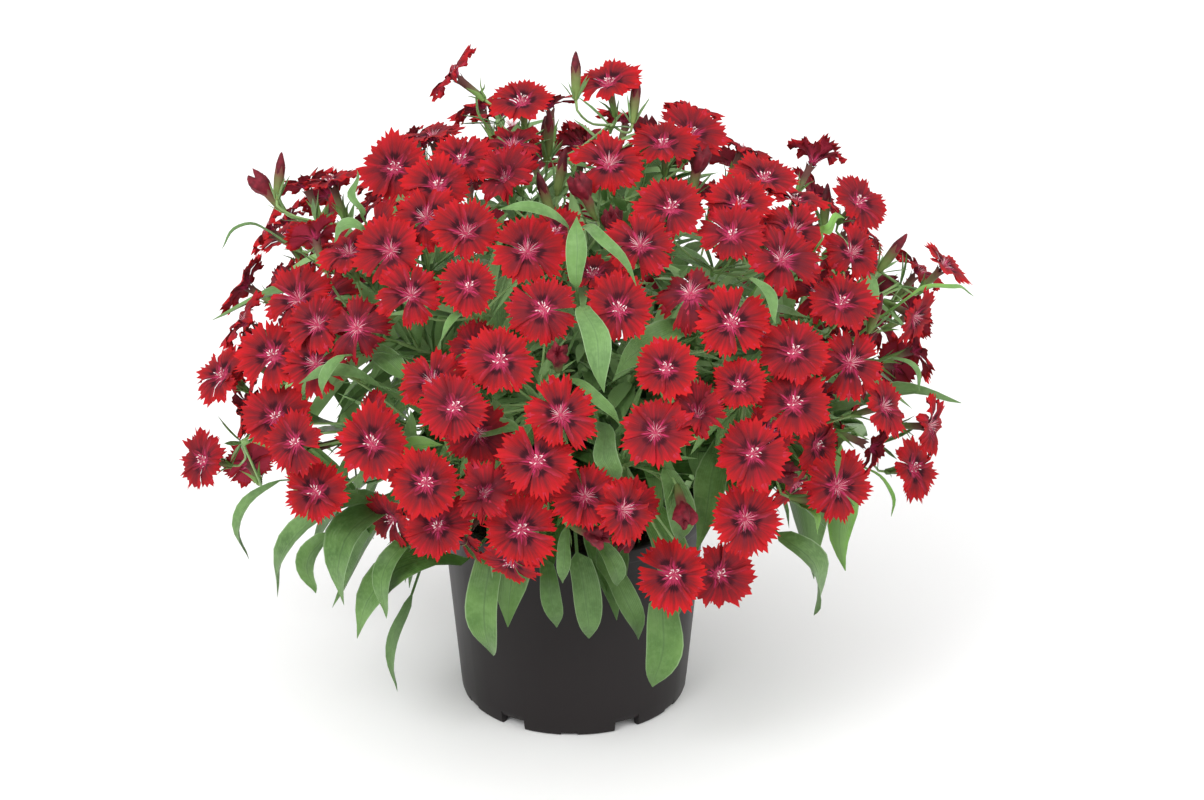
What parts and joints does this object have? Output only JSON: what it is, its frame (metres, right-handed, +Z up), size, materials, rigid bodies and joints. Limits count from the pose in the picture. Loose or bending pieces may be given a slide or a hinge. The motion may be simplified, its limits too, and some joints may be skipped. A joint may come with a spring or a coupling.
{
  "type": "potted dianthus",
  "caption": "Bushy dianthus in full bloom: fringed red five-petalled flowers over lance-shaped green leaves, in a round black nursery pot filled with peat.",
  "frame": {"origin": "middle of the pot's foot, where the upright middle line of the plant meets the ground", "axes": "+Z up, -Y the front with the most carefully set flowers, +X to the viewer's right of it"},
  "size_m": [0.414, 0.3645, 0.3553],
  "materials": {
    "pot_plastic": "satin black thin-walled plastic",
    "peat": "rough, crumbly, dark brown",
    "leaf": "soft grey-green sheen, smooth leaves and stems",
    "petal": "velvety crimson"
  },
  "bodies": {
    "root": {"pot": "pot_plastic", "soil": "peat", "shoot_01": "leaf", "shoot_02": "leaf", "shoot_03": "leaf", "shoot_04": "leaf", "shoot_05": "leaf", "shoot_06": "leaf", "shoot_07": "leaf", "shoot_08": "leaf", "shoot_09": "leaf", "shoot_10": "leaf", "shoot_11": "leaf", "cyme_01": "petal", "cyme_02": "petal", "cyme_03": "petal", "cyme_04": "petal", "cyme_05": "petal", "cyme_06": "petal", "cyme_07": "petal", "cyme_08": "petal", "cyme_09": "petal", "cyme_10": "petal", "cyme_11": "petal", "cyme_12": "petal", "cyme_13": "petal", "cyme_14": "petal", "cyme_15": "petal", "cyme_16": "petal", "cyme_17": "petal", "cyme_18": "petal", "cyme_19": "petal", "cyme_20": "petal", "cyme_21": "petal", "cyme_22": "petal", "cyme_23": "petal", "cyme_24": "petal", "cyme_25": "petal", "cyme_26": "petal", "cyme_27": "petal", "cyme_28": "petal", "cyme_29": "petal", "cyme_30": "petal", "cyme_31": "petal", "cyme_32": "petal", "cyme_33": "petal"}
  },
  "joints": []
}
